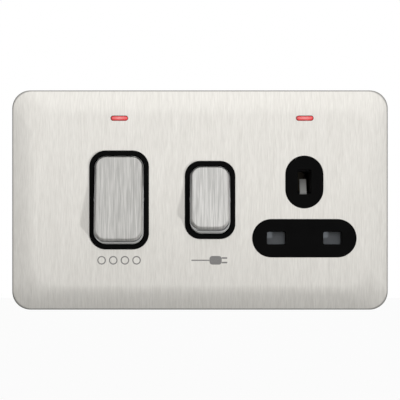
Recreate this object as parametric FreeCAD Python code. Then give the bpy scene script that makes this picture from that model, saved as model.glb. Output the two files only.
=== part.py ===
import FreeCAD, Part
import math
import os

# Cooker control unit: steel cover plate, double-pole cooker switch, switched three-pin socket outlet.
# X runs right, Z runs up, the front faces -Y and the wall surface is the plane y = 0.

V = FreeCAD.Vector
os.makedirs("parts", exist_ok=True)

# Clearances
fit = 0.05
gap = 0.15

# Cover plate
plate_width = 149.0
plate_height = 87.0
plate_radius = 7.2
plate_front = -5.0
plate_gauge = 1.0
plate_lift = 0.2
slope_width = 5.8
slope_steep = 19.0
slope_flat = 7.0
slope_inner_radius = 8.6
crease_radius = 8.0
rim_radius = 0.8

# Front moulding
web_gauge = 2.0
rim_wall = 1.6
ring_proud = 0.8
ring_width = 1.65
socket_face_sink = 0.1
fixing_pitch = 120.6
fixing_hole_radius = 2.1
fixing_head_radius = 4.0
fixing_head_depth = 1.0

# Rockers
pivot_y = -4.0
pivot_radius = 1.0
pivot_reach = 1.3
face_reach = 4.5
rocker_gap = 0.3
rocker_depth = 5.2
cap_gauge = 0.6
cap_skirt = 2.0
cap_flare = 0.7
cap_corner = 3.8
ledge_drop = 2.3
groove_depth = 0.9
rim_gauge = 0.3
rocker_wall = 1.4
rocker_corner = 4.5
pocket_back = 6.0
pocket_wall = 1.4
pocket_floor = 1.4

cooker_x = -31.95
cooker_cap = (18.0, 32.7)
cooker_cap_rise = 0.15
cooker_ring = (cooker_cap[0] + 2 * (cap_flare + rocker_gap + ring_width), 38.8)
cooker_ring_radius = 6.3
cooker_tilt = 8.0
cooker_pole_offset = 5.6

switch_x = 3.97
switch_cap = (14.4, 24.1)
switch_cap_rise = 0.3
switch_ring = (switch_cap[0] + 2 * (cap_flare + rocker_gap + ring_width), 30.6)
switch_ring_radius = 5.9
switch_tilt = 10.0

# Switch gear
plunger_reach = 16.6
plunger_radius = 1.6
tube_wall = 1.0
tube_end = 7.0
arm_width = 5.0
arm_gauge = 1.2
arm_pivot_y = 14.1
arm_tilt = 8.0
arm_lower = 9.0
arm_upper = 11.2
ear_radius = 1.5
contact_z = 9.4
rivet_radius = 1.6
rivet_height = 0.8
strip_front = 17.4
strip_gauge = 1.0
post_radius = 0.6
block_front = 12.5
block_back = 23.8
block_width = 9.0
block_near = 17.0
block_far = 27.0
cable_radius = 2.7
cable_y = 17.6
screw_radius = 2.0
screw_head_radius = 2.9

# Socket outlet
socket_x = 41.2
pin_pitch = 22.23
pin_thickness = 3.97
earth_z = 7.1
live_z = -15.1
earth_slot = (5.1, 9.6)
live_slot = (7.2, 5.0)
earth_oval = (14.8, 20.6)
live_oval = (41.0, 14.9)
tunnel_end = -1.0
tunnel_wall = 1.3
shutter_front = tunnel_end + 0.3
shutter_gauge = 2.6
shutter_travel = 5.9
ramp_top = 8.4
ramp_half = 1.3
carrier_front = shutter_front + shutter_gauge + 0.3
carrier_gauge = 1.3
shutter_width = 30.4
rail_gauge = 1.2
hook_offset = 9.8
hook_z = 0.5

# Rear case
case_left = -50.0
case_side_room = 4.2
case_right = socket_x + shutter_width / 2 + case_side_room
case_back = 26.0
case_wall = 1.6
case_end_room = 0.4
case_half = block_far + case_wall + case_end_room
case_radius = 3.0
column_radius = 2.4
column_spots = [(-46.0, 12.0), (-46.0, -12.0), (-13.5, 22.5), (18.3, -4.0), (55.0, 20.5)]

# Neon windows
neon_rise = 3.3
neon_z = case_half + neon_rise
cooker_neon_x = -31.85
socket_neon_x = 41.35
lens_size = (6.7, 1.8)
lens_proud = 0.15
lens_flange = (9.4, 4.2)
lamp_radius = 2.0
lamp_y = 3.0
resistor_y = 7.3
pod_size = (16.4, 9.6)
pod_wall = 1.2
pod_back = 10.0


def block(x0, x1, y0, y1, z0, z1, grow=0.0):
    return Part.makeBox(x1 - x0 + 2 * grow, y1 - y0 + 2 * grow, z1 - z0 + 2 * grow,
                        V(x0 - grow, y0 - grow, z0 - grow))


def rod(radius, start, end):
    return Part.makeCylinder(radius, (end - start).Length, start, end - start)


def outline(width, height, radius, y, x=0.0, z=0.0):
    """Closed wire of a rectangle with round corners, in a plane of constant y."""
    near = radius * (1 - math.sqrt(0.5))
    edges = []
    last = None
    for sx, sz in ((1, -1), (1, 1), (-1, 1), (-1, -1)):
        cx = x + sx * width / 2
        cz = z + sz * height / 2
        on_z = V(cx - sx * radius, y, cz)
        on_x = V(cx, y, cz - sz * radius)
        middle = V(cx - sx * near, y, cz - sz * near)
        first, second = (on_z, on_x) if sx * sz < 0 else (on_x, on_z)
        if last is None:
            opening = first
        elif last.distanceToPoint(first) > 1e-6:
            edges.append(Part.makeLine(last, first))
        edges.append(Part.Arc(first, middle, second).toShape())
        last = second
    if last.distanceToPoint(opening) > 1e-6:
        edges.append(Part.makeLine(last, opening))
    return Part.Wire(edges)


def slab(width, height, radius, y0, y1, x=0.0, z=0.0):
    return Part.Face(outline(width, height, radius, y0, x, z)).extrude(V(0, y1 - y0, 0))


def prism_x(points, x0, x1):
    """Closed (y, z) profile extruded along X."""
    corners = [V(x0, y, z) for y, z in points]
    return Part.Face(Part.makePolygon(corners + corners[:1])).extrude(V(x1 - x0, 0, 0))


def ribbon(points, gauge):
    """Outline of a bent strip whose one side follows the points, as a closed list of points."""
    far = []
    for i, (a, b) in enumerate(points):
        before = points[max(i - 1, 0)]
        after = points[min(i + 1, len(points) - 1)]
        here = (a, b)
        normals = []
        for p, q in ((before, here), (here, after)):
            length = math.hypot(q[0] - p[0], q[1] - p[1])
            if length > 0:
                normals.append((-(q[1] - p[1]) / length, (q[0] - p[0]) / length))
        nx = sum(n[0] for n in normals)
        ny = sum(n[1] for n in normals)
        scale = gauge * len(normals) / (nx * nx + ny * ny)
        far.append((a + nx * scale, b + ny * scale))
    return points + far[::-1]


def soften(solid, radius, wanted):
    """Round the edges that the test picks."""
    return solid.makeFillet(radius, [e for e in solid.Edges if wanted(e)])


def bevel(solid, size, wanted):
    return solid.makeChamfer(size, [e for e in solid.Edges if wanted(e)])


def at_y(y):
    def flat(edge):
        points = [v.Point for v in edge.Vertexes] + [edge.CenterOfMass]
        return all(abs(p.y - y) < 0.01 for p in points)
    return flat


def along_y(edge):
    box = edge.BoundBox
    return box.YLength > 0.5 and box.XLength < 0.01 and box.ZLength < 0.01


def fused(first, *others):
    return first.fuse(list(others)).removeSplitter()


def coil(start, end, mean_radius, wire_radius, turns):
    """Compression spring between two points."""
    axis = end - start
    height = axis.Length - 2 * wire_radius
    helix = Part.makeHelix(height / turns, height, mean_radius)
    section = Part.Wire(Part.makeCircle(wire_radius, V(mean_radius, 0, 0), V(0, 1, 0)))
    spring = Part.Wire(helix.Edges).makePipeShell([section], True, True)
    turn = FreeCAD.Rotation(V(0, 0, 1), axis)
    spring.Placement = FreeCAD.Placement(start + axis.normalize() * wire_radius, turn)
    return spring


def wire_lead(points, radius):
    """Round lead that runs smoothly through the points."""
    curve = Part.BSplineCurve()
    curve.interpolate(points)
    path = Part.Wire(curve.toShape())
    section = Part.Wire(Part.makeCircle(radius, points[0], curve.tangent(curve.FirstParameter)[0]))
    return path.makePipeShell([section], True, False)


def turned(solid, degrees, y, z=0.0):
    """Copy turned about the line along X through (y, z)."""
    copy = solid.copy()
    copy.rotate(V(0, y, z), V(1, 0, 0), degrees)
    return copy


def save(name, *solids):
    shape = solids[0] if len(solids) == 1 else Part.makeCompound(list(solids))
    if shape.ShapeType == "Compound" and len(shape.Solids) == 1:
        shape = shape.Solids[0]
    shape.exportStep("parts/" + name + ".step")


# Sizes that follow from the ones above
web_front = plate_front + plate_gauge + gap
web_back = web_front + web_gauge
ring_front = plate_front - ring_proud
cooker_opening = (cooker_ring[0] - 2 * ring_width, cooker_ring[1] - 2 * ring_width)
switch_opening = (switch_ring[0] - 2 * ring_width, switch_ring[1] - 2 * ring_width)
cooker_end_radius = cooker_opening[1] / 2 - rocker_gap
switch_end_radius = switch_opening[1] / 2 - rocker_gap
line_x = cooker_x + cooker_pole_offset
neutral_x = cooker_x - cooker_pole_offset
pin_side = pin_pitch / 2
shutter_back = shutter_front + shutter_gauge
shutter_top = live_z + live_slot[1] / 2 + 0.5
shutter_low = live_z - live_slot[1] / 2 - 0.8
strip_back = strip_front + strip_gauge
floor_front = case_back - 2.0
sockets = [
    (live_slot, socket_x - pin_side, live_z),
    (live_slot, socket_x + pin_side, live_z),
    (earth_slot, socket_x, earth_z),
]
rings = [(cooker_ring, cooker_opening, cooker_x, cooker_ring_radius),
         (switch_ring, switch_opening, switch_x, switch_ring_radius)]
plungers = [line_x, neutral_x, switch_x]
faces = [(earth_oval, earth_z), (live_oval, live_z)]
neons = [cooker_neon_x, socket_neon_x]


# Cover plate: one steel pressing with a flat face, a shallow crowned border and a short skirt
def crowned(width, height, radius, back, front, inner_radius, crease, rim):
    start = math.radians(slope_steep)
    end = math.radians(slope_flat)
    bend = slope_width / (math.sin(start) - math.sin(end))
    drop = bend * (math.cos(end) - math.cos(start))
    sections = []
    for share in (0.0, 0.5, 1.0):
        angle = start + (end - start) * share
        inset = bend * (math.sin(start) - math.sin(angle))
        rise = bend * (math.cos(angle) - math.cos(start))
        corner = radius + (inner_radius - radius) * inset / slope_width
        sections.append(outline(width - 2 * inset, height - 2 * inset, corner, front + drop - rise))
    base = slab(width, height, radius, back, front + drop)
    body = fused(base, Part.makeLoft(sections, True, False)).Solids[0]
    if crease:
        body = soften(body, crease, at_y(front))
        body = soften(body, rim, at_y(front + drop))
    return body


skin = crowned(plate_width, plate_height, plate_radius, -plate_lift, plate_front, slope_inner_radius,
               crease_radius, rim_radius)
hollow = crowned(plate_width - 2 * plate_gauge, plate_height - 2 * plate_gauge, plate_radius - plate_gauge,
                 1.0, plate_front + plate_gauge, slope_inner_radius - plate_gauge, 0, 0)
faceplate = skin.cut(hollow)
for ring, opening, x, radius in rings:
    faceplate = faceplate.cut(slab(ring[0] + 2 * gap, ring[1] + 2 * gap, radius + gap, -9, 1, x, 0))
for oval, z in faces:
    size = (oval[0] + 2 * gap, oval[1] + 2 * gap)
    faceplate = faceplate.cut(slab(size[0], size[1], min(size) / 2 - 0.01, -9, 1, socket_x, z))
for x in neons:
    faceplate = faceplate.cut(slab(lens_size[0] + 2 * gap, lens_size[1] + 2 * gap,
                                   lens_size[1] / 2 + gap - 0.01, -9, 1, x, neon_z))

# Spring lips inside the skirt, which snap into notches of the moulding
lip_x = (-52.0, -16.0, 16.0, 52.0)
lip_reach = 0.7
lips = []
for x in lip_x:
    for side in (-1, 1):
        z0 = side * (plate_height / 2 - plate_gauge - lip_reach)
        z1 = side * (plate_height / 2 - plate_gauge / 2)
        lips.append(bevel(block(x - 3, x + 3, -1.6, -0.9, min(z0, z1), max(z0, z1)), 0.25,
                          lambda e: e.BoundBox.XLength > 5 and abs(e.CenterOfMass.z - z0) < 0.01))
faceplate = fused(faceplate, *lips)
prise_notch = slab(9, 4, 1.4, -1.1, 1, 0, -plate_height / 2)
faceplate = faceplate.cut(prise_notch)
save("faceplate", faceplate.Solids[0])

# Front moulding: ribbed web under the plate, the two rocker rings, the socket faces and their tunnels
inset = plate_gauge + gap
moulding_size = (plate_width - 2 * inset, plate_height - 2 * inset)
moulding = crowned(moulding_size[0], moulding_size[1], plate_radius - inset, 0, web_front,
                   slope_inner_radius - inset, 0, 0)
moulding = moulding.cut(slab(moulding_size[0] - 2 * rim_wall, moulding_size[1] - 2 * rim_wall,
                             plate_radius - inset - rim_wall, web_back, 1))
bosses = []
for side in (-1, 1):
    spot = V(side * fixing_pitch / 2, web_back - 0.5, 0)
    bosses.append(rod(5.4, spot, V(spot.x, 0, 0)))
for z in (-34.5, 34.5):
    bosses.append(block(-66, 66, web_back - 0.2, 0, z - 0.6, z + 0.6))
for x in (-66.0, -55.0, 66.0):
    bosses.append(block(x - 0.6, x + 0.6, web_back - 0.2, 0, -38, 38))
for ring, opening, x, radius in rings:
    collar = slab(ring[0], ring[1], radius, web_back - 0.5, ring_front, x, 0)
    bosses.append(soften(collar, 0.45, at_y(ring_front)))
    bosses.append(slab(opening[0] + 2 * pocket_wall, opening[1] + 2 * pocket_wall, rocker_corner + 0.5,
                       web_back - 0.5, pocket_back, x, 0))
face_front = plate_front + socket_face_sink
for oval, z in faces:
    face = slab(oval[0], oval[1], min(oval) / 2 - 0.01, web_back - 0.5, face_front, socket_x, z)
    bosses.append(soften(face, 0.25, at_y(face_front)))
for slot, x, z in sockets:
    bosses.append(slab(slot[0] + 2 * tunnel_wall, slot[1] + 2 * tunnel_wall, 1.6,
                       web_back - 0.5, tunnel_end, x, z))
for x, z in column_spots:
    bosses.append(rod(column_radius, V(x, web_back - 0.5, z), V(x, pocket_back, z)))

# Rails beside the shutter, and hooks that hold its carrier
for side in (-1, 1):
    x = socket_x + side * (shutter_width / 2 + 0.3 + rail_gauge / 2)
    rail = block(x - rail_gauge / 2, x + rail_gauge / 2, web_back - 0.5, carrier_front - fit,
                 shutter_low - shutter_travel - 0.3, shutter_top + 0.6)
    bosses.append(soften(rail, 0.4, along_y))
    x = socket_x + side * hook_offset
    bosses.append(rod(1.7, V(x, web_back - 0.5, hook_z), V(x, carrier_front - fit, hook_z)))
    bosses.append(rod(0.9, V(x, web_back - 0.5, hook_z), V(x, carrier_front + carrier_gauge + 0.6, hook_z)))
moulding = fused(moulding, *bosses)

for ring, opening, x, radius in rings:
    moulding = moulding.cut(slab(opening[0], opening[1], rocker_corner + 0.2,
                                 -9, pocket_back - pocket_floor, x, 0))
    for side in (-1, 1):
        inner = x + side * (opening[0] / 2 - 0.5)
        outer = x + side * (opening[0] / 2 - rocker_gap + pivot_reach + 0.2)
        open_side = x + side * (opening[0] / 2 + pocket_wall + 0.5)
        saddle = rod(pivot_radius + fit, V(inner, pivot_y, 0), V(outer, pivot_y, 0))
        for end, y0, y1 in ((outer, pivot_y, web_back + 0.1), (open_side, web_back, pocket_back + 1)):
            run = block(min(inner, end), max(inner, end), y0, y1, -pivot_radius - fit, pivot_radius + fit)
            saddle = fused(saddle, run)
        moulding = moulding.cut(saddle)
for x in plungers:
    tube_half = plunger_radius + tube_wall + 0.3
    swing_half = tube_half + (tube_end - pivot_y) * math.sin(math.radians(max(cooker_tilt, switch_tilt)))
    moulding = moulding.cut(block(x - tube_half, x + tube_half, pocket_back - pocket_floor - 1,
                                  pocket_back + 1, -swing_half, swing_half))
for side in (-1, 1):
    x = side * fixing_pitch / 2
    moulding = moulding.cut(rod(fixing_hole_radius, V(x, -9, 0), V(x, 1, 0)))
    moulding = moulding.cut(rod(fixing_head_radius, V(x, -9, 0), V(x, web_front + fixing_head_depth, 0)))
for slot, x, z in sockets:
    moulding = moulding.cut(slab(slot[0], slot[1], 0.6, -9, 9, x, z))
    lead_in = Part.makeLoft([outline(slot[0] + 0.7, slot[1] + 0.7, 0.9, face_front - 0.05, x, z),
                             outline(slot[0] - 0.1, slot[1] - 0.1, 0.6, face_front + 0.35, x, z)], True, True)
    moulding = moulding.cut(lead_in)
for x in neons:
    moulding = moulding.cut(slab(lens_size[0] + 2 * gap, lens_size[1] + 2 * gap,
                                 lens_size[1] / 2 + gap - 0.01, -9, 1, x, neon_z))
    moulding = moulding.cut(block(x - pod_size[0] / 2, x + pod_size[0] / 2, web_back, 1,
                                  neon_z - pod_size[1] / 2 - 0.2, neon_z + pod_size[1] / 2 + 0.2, 0.15))
for x, z in column_spots:
    moulding = moulding.cut(rod(1.25, V(x, web_front + 1.2, z), V(x, pocket_back + 1, z)))
for x in lip_x:
    for side in (-1, 1):
        z0 = side * (plate_height / 2 - plate_gauge - lip_reach - gap)
        z1 = side * (plate_height / 2)
        moulding = moulding.cut(block(x - 3.3, x + 3.3, -1.9, -0.6, min(z0, z1), max(z0, z1)))
earth_leaf_x = 20.0
leaf_window = block(earth_leaf_x - 2.4, earth_leaf_x + 2.4, -9, 1, 18.8, 25.6)
moulding = moulding.cut(leaf_window)
moulding = moulding.cut(slab(10, 5, 1.4, -1.2, 1, 0, -plate_height / 2))
save("front_moulding", moulding.Solids[0])


# Rocker: hollow plastic lever with round ends about its pivot, plunger tubes and a steel skin
def make_rocker(name, x, cap_size, cap_rise, end_radius, tilt, plunger_x):
    face_y = pivot_y - face_reach
    ledge_y = face_y + ledge_drop
    back_y = pivot_y + rocker_depth
    body_width = cap_size[0] + 2 * cap_flare

    def drum(trim, y0, y1):
        """Slice of a drum about the pivot, with rounded rims."""
        half = body_width / 2 - trim
        radius = end_radius - trim
        whole = rod(radius, V(x - half, pivot_y, 0), V(x + half, pivot_y, 0))
        whole = soften(whole, rocker_corner - trim, lambda e: e.BoundBox.XLength < 0.01)
        return whole.common(block(x - half, x + half, y0, y1, -radius, radius))

    def flared(trim, y0, y1):
        """Cap-shaped solid that widens towards the back."""
        ends = []
        for y in (y0, y1):
            grow = cap_flare * (y - face_y) / cap_skirt - trim
            ends.append(outline(cap_size[0] + 2 * grow, cap_size[1] + 2 * grow, cap_corner + grow,
                                y, x, cap_rise))
        return Part.makeLoft(ends, True, True)

    core = flared(cap_gauge + fit, face_y + cap_gauge + fit, ledge_y + 0.1)
    body = fused(drum(0, ledge_y, back_y), core).cut(drum(rocker_wall, face_y + 2.4, back_y + 1))
    base = flared(rim_gauge, face_y + cap_skirt - 0.01, face_y + cap_skirt).BoundBox
    inner_edge = slab(base.XLength, base.ZLength, cap_corner + cap_flare - rim_gauge, ledge_y - 1,
                      ledge_y + groove_depth + 1, x, cap_rise)
    body = body.cut(drum(rim_gauge, ledge_y - 0.01, ledge_y + groove_depth).cut(inner_edge))
    extras = []
    for side in (-1, 1):
        start = x + side * (body_width / 2 - rocker_wall)
        end = x + side * (body_width / 2 + pivot_reach)
        extras.append(rod(pivot_radius, V(start, pivot_y, 0), V(end, pivot_y, 0)))
    for px in plunger_x:
        extras.append(rod(plunger_radius + tube_wall, V(px, face_y + 2.2, 0), V(px, tube_end, 0)))
    rib_half = body_width / 2 - 0.5
    extras.append(block(x - rib_half, x + rib_half, face_y + 2.3, back_y - 1.0, -0.6, 0.6))
    for z in (-cap_size[1] * 0.25, cap_size[1] * 0.25):
        extras.append(block(x - rib_half, x + rib_half, face_y + 2.3, face_y + 4.0, z - 0.5, z + 0.5))
    body = fused(body, *extras)
    for px in plunger_x:
        body = body.cut(rod(plunger_radius + 0.08, V(px, face_y + 3.4, 0), V(px, tube_end + 1, 0)))
    save(name, turned(body, -tilt, pivot_y).Solids[0])

    cap = soften(flared(0, face_y, face_y + cap_skirt), 0.55, at_y(face_y))
    inner = flared(cap_gauge, face_y + cap_gauge, face_y + cap_skirt + 0.1)
    save(name + "_cap", turned(cap.cut(inner), -tilt, pivot_y).Solids[0])

    pins = []
    springs = []
    tip_y = pivot_y + plunger_reach
    for px in plunger_x:
        pin = rod(plunger_radius, V(px, 3.4, 0), V(px, tip_y, 0))
        pin = soften(pin, plunger_radius - 0.1, at_y(tip_y))
        stem = rod(0.7, V(px, 0.6, 0), V(px, 3.5, 0))
        pins.append(turned(fused(pin, stem), -tilt, pivot_y))
        springs.append(turned(coil(V(px, face_y + 3.5, 0), V(px, 3.3, 0), 1.2, 0.2, 6), -tilt, pivot_y))
    return pins, springs


pins, springs = make_rocker("cooker_rocker", cooker_x, cooker_cap, cooker_cap_rise, cooker_end_radius,
                            cooker_tilt, (neutral_x, line_x))
save("cooker_plungers", *pins)
save("cooker_plunger_springs", *springs)
pins, springs = make_rocker("socket_rocker", switch_x, switch_cap, switch_cap_rise, switch_end_radius,
                            switch_tilt, (switch_x,))
save("socket_plunger", *pins)
save("socket_plunger_spring", *springs)


# See-saw arm: two round ears straddle the post it rocks on, and its upper end carries a riveted contact
def make_arm(name, rivet_name, x):
    flat = prism_x(ribbon([(arm_pivot_y - 0.5, -arm_lower), (arm_pivot_y, -arm_lower + 2.5),
                           (arm_pivot_y, arm_upper)], arm_gauge), x - arm_width / 2, x + arm_width / 2)
    ears = []
    for side in (-1, 1):
        inner = x + side * 1.9
        outer = x + side * arm_width / 2
        disc = rod(ear_radius, V(inner, arm_pivot_y, 0), V(outer, arm_pivot_y, 0))
        front_half = block(x - arm_width, x + arm_width, arm_pivot_y - 2 * ear_radius,
                           arm_pivot_y - arm_gauge / 2, -2 * ear_radius, 2 * ear_radius)
        ears.append(disc.cut(front_half))
    hole = rod(0.9, V(x, arm_pivot_y - 3, contact_z), V(x, arm_pivot_y + 3, contact_z))
    arm = soften(fused(flat, *ears), 1.2, lambda e: along_y(e) and e.CenterOfMass.z > arm_upper - 0.1)
    save(name, turned(arm.cut(hole), arm_tilt, arm_pivot_y))
    tip_y = arm_pivot_y + rivet_height
    head = rod(rivet_radius, V(x, arm_pivot_y + fit / 2, contact_z), V(x, tip_y, contact_z))
    head = soften(head, 0.5, at_y(tip_y))
    shank = rod(0.9 - fit / 2, V(x, arm_pivot_y - arm_gauge - 0.3, contact_z),
                V(x, arm_pivot_y + 0.2, contact_z))
    save(rivet_name, turned(fused(head, shank), arm_tilt, arm_pivot_y))


make_arm("line_contact_arm", "line_arm_rivet", line_x)
make_arm("neutral_contact_arm", "neutral_arm_rivet", neutral_x)
make_arm("socket_contact_arm", "socket_arm_rivet", switch_x)


# Terminals: brass pillars with a cable hole, a clamp screw from the back and a strip into the switch
def pillar(x0, x1, side, bores, radius):
    z0, z1 = sorted((side * block_near, side * block_far))
    body = bevel(block(x0, x1, block_front, block_back, z0, z1), 0.5, along_y)
    for x in bores:
        outer = V(x, cable_y, side * (block_far + 1))
        body = body.cut(rod(radius, outer, V(x, cable_y, side * (block_near + 2))))
        middle = side * (block_near + block_far) / 2
        body = body.cut(rod(screw_radius + fit, V(x, cable_y, middle), V(x, block_back + 1, middle)))
    return body


def post(x):
    """Upstand with a round top, on which a see-saw arm rocks."""
    top = arm_pivot_y + 0.1 + post_radius
    return fused(block(x - 1.6, x + 1.6, top, strip_back, -post_radius, post_radius),
                 rod(post_radius, V(x - 1.6, top, 0), V(x + 1.6, top, 0)))


def contact_strip(x, reach):
    """Strip end with a hole for the fixed contact rivet."""
    end = contact_z - 2.2
    strip = block(x - arm_width / 2, x + arm_width / 2, strip_front, strip_back, end, reach)
    strip = soften(strip, 1.2, lambda e: along_y(e) and abs(e.CenterOfMass.z - end) < 0.01)
    return strip.cut(rod(0.9, V(x, strip_front - 1, contact_z), V(x, strip_back + 1, contact_z)))


half = block_width / 2
for name, x in (("line", line_x), ("neutral", neutral_x)):
    strip = block(x - arm_width / 2, x + arm_width / 2, strip_front, strip_back,
                  -block_near - 0.5, post_radius)
    save("supply_terminal_" + name, fused(pillar(x - half, x + half, -1, (x,), cable_radius), strip, post(x)))
    save("load_terminal_" + name, fused(pillar(x - half, x + half, 1, (x,), cable_radius),
                                        contact_strip(x, block_near + 0.5)))

# Live feed of the socket switch: strip from the supply pillar, with its own post
feed_z = (-24.0, -19.0)
feed = fused(block(switch_x - 2.5, switch_x + 2.5, strip_front, strip_back, feed_z[0], post_radius),
             block(line_x + half + fit, switch_x + 2.5, strip_front, strip_back, feed_z[0], feed_z[1]),
             post(switch_x))
save("socket_feed_strip", feed)


# Pin clips: folded leaves that pinch the pin, with strips to where the current comes from
def clip(thickness_half, mouth, web, width, gauge):
    """Profile in (y, s) where s runs across the pin, extruded across the width."""
    pinch = thickness_half - 0.25
    side = [(mouth, pinch + 1.4), (mouth + 3.2, pinch), (mouth + 6.5, pinch + 0.4), (web, pinch + 0.7)]
    mirror = [(y, -s) for y, s in side[::-1]]
    return prism_x(ribbon(side + mirror, gauge), -width / 2, width / 2)


live_mouth = 7.6
earth_mouth = 8.6
leaf_gauge = 0.7
live_clip = clip(pin_thickness / 2, live_mouth, strip_front, 6.0, leaf_gauge)
line_pin_x = socket_x + pin_side
neutral_pin_x = socket_x - pin_side
tail_z = (-26.0, -22.0)
tail_x = (9.5, 13.5)
line_clip = live_clip.translated(V(line_pin_x, 0, live_z))
line_contact = fused(
    line_clip,
    block(line_pin_x - 3, line_pin_x + 3, strip_front, strip_back, tail_z[0], live_z),
    block(tail_x[0], line_pin_x + 3, strip_front, strip_back, tail_z[0], tail_z[1]),
    block(tail_x[0], tail_x[1], strip_front, strip_back, tail_z[0], contact_z + 2.5),
    contact_strip(switch_x, contact_z + 2.5),
    block(switch_x - arm_width / 2, tail_x[1], strip_front, strip_back, contact_z + 0.2, contact_z + 2.5),
)
line_contact = line_contact.cut(rod(0.9, V(switch_x, 10, contact_z), V(switch_x, 20, contact_z)))
save("line_contact", line_contact)

link_front = 21.2
link_back = link_front + strip_gauge
link_z = (-16.4, -12.4)
link_x = (neutral_x - 2.0, neutral_x + 2.0)
neutral_contact = fused(
    live_clip.translated(V(neutral_pin_x, 0, live_z)),
    block(neutral_pin_x - 4.5, neutral_pin_x + 2, strip_front, strip_back, link_z[0], link_z[1]),
    block(neutral_pin_x - 5.5, neutral_pin_x - 4.5, strip_front, link_back, link_z[0], link_z[1]),
    block(link_x[0], neutral_pin_x - 4.5, link_front, link_back, link_z[0], link_z[1]),
    block(link_x[0], link_x[1], link_front, link_back, -block_near + fit, link_z[1]),
)
save("neutral_contact", neutral_contact)

earth_web = 20.0
earth_block = (18.0, 34.0)
earth_tail_z = (18.5, 22.5)
earth_clip = clip(pin_thickness / 2, earth_mouth, earth_web, 7.4, leaf_gauge)
earth_clip.rotate(V(0, 0, 0), V(0, 1, 0), 90)
earth_contact = fused(
    earth_clip.translated(V(socket_x, 0, earth_z)),
    block(socket_x - 2, socket_x + 2, earth_web, earth_web + strip_gauge, earth_z, earth_tail_z[1]),
    block(earth_block[1] + fit, socket_x + 2, earth_web, earth_web + strip_gauge,
          earth_tail_z[0], earth_tail_z[1]),
)
save("earth_contact", earth_contact)
earth_bores = (22.0, 30.0)
save("earth_terminal", pillar(earth_block[0], earth_block[1], 1, earth_bores, 2.3))

leaf_thin = 0.4
leaf_tip = plate_front + plate_gauge + 0.03 + leaf_thin
leaf = prism_x(ribbon([(block_front - fit, 18.0), (block_front - fit, 21.6), (leaf_tip + 0.8, 21.6),
                       (leaf_tip, 22.4), (leaf_tip, 23.4), (leaf_tip + 0.6, 24.4)], leaf_thin),
               earth_leaf_x - 1.8, earth_leaf_x + 1.8)
save("plate_earth_spring", leaf)

# Fixed contact rivets
rivets = []
for x in (line_x, neutral_x, switch_x):
    tip_y = strip_front - rivet_height
    head = rod(rivet_radius, V(x, tip_y, contact_z), V(x, strip_front - fit / 2, contact_z))
    head = soften(head, 0.5, at_y(tip_y))
    rivets.append(fused(head, rod(0.9 - fit / 2, V(x, strip_front - 0.2, contact_z),
                                  V(x, strip_back, contact_z))))
save("fixed_rivets", *rivets)

# Terminal screws: slotted cheese heads that face the back of the unit
terminal_z = (block_near + block_far) / 2
terminal_spots = [(line_x, -terminal_z), (neutral_x, -terminal_z), (line_x, terminal_z),
                  (neutral_x, terminal_z), (earth_bores[0], terminal_z), (earth_bores[1], terminal_z)]
screws = []
tip = cable_y + cable_radius + 0.1
for x, z in terminal_spots:
    shank = rod(screw_radius, V(x, tip, z), V(x, case_back - 2.0, z))
    shank = bevel(shank, 0.4, at_y(tip))
    head = rod(screw_head_radius, V(x, block_back + 0.2, z), V(x, case_back - 0.2, z))
    head = soften(head, 0.3, at_y(case_back - 0.2))
    slot = block(x - 4, x + 4, case_back - 1.2, case_back, z - 0.45, z + 0.45)
    screws.append(fused(shank, head).cut(slot))
save("terminal_screws", *screws)

# Case screws: from the back through the columns into the front moulding
screws = []
for x, z in column_spots:
    shank = bevel(rod(1.2, V(x, 0.5, z), V(x, case_back - 3.0, z)), 0.4, at_y(0.5))
    head = soften(rod(2.1, V(x, case_back - 3.2, z), V(x, case_back - 1.4, z)), 0.4, at_y(case_back - 1.4))
    cross = fused(block(x - 1.2, x + 1.2, case_back - 2.4, case_back, z - 0.3, z + 0.3),
                  block(x - 0.3, x + 0.3, case_back - 2.4, case_back, z - 1.2, z + 1.2))
    screws.append(fused(shank, head).cut(cross))
save("housing_screws", *screws)

# Neon windows with the lamp, its resistor and two leads behind each
leads = {
    "cooker_neon": [
        [V(cooker_neon_x - 4.3, lamp_y, neon_z), V(cooker_neon_x - 5.3, lamp_y, neon_z - 0.3),
         V(neutral_x - 0.6, 4.0, neon_z - 4.3), V(neutral_x - 0.6, 9.0, terminal_z + 0.6),
         V(neutral_x - 0.6, block_front - 0.4, terminal_z)],
        [V(cooker_neon_x + 3.4, resistor_y, neon_z), V(cooker_neon_x + 4.6, resistor_y, neon_z - 0.3),
         V(line_x + 0.6, 7.6, neon_z - 5.3), V(line_x + 0.6, 10.0, terminal_z + 0.7),
         V(line_x + 0.6, block_front - 0.4, terminal_z)],
    ],
    "socket_neon": [
        [V(socket_neon_x - 4.3, lamp_y, neon_z), V(socket_neon_x - 5.4, lamp_y, neon_z - 0.4),
         V(socket_x - 7.7, 4.0, neon_z - 5.3), V(neutral_pin_x, 9.0, earth_z + 6.9),
         V(neutral_pin_x + 0.1, 13.0, 0.0), V(neutral_pin_x, 13.4, live_z + 3.3)],
        [V(socket_neon_x + 3.4, resistor_y, neon_z), V(socket_neon_x + 4.6, resistor_y, neon_z - 0.4),
         V(socket_x + 7.8, 7.6, neon_z - 6.3), V(line_pin_x - 0.9, 9.0, earth_z + 6.9),
         V(line_pin_x - 0.4, 13.0, 0.0), V(line_pin_x, 13.4, live_z + 3.3)],
    ],
}
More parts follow.
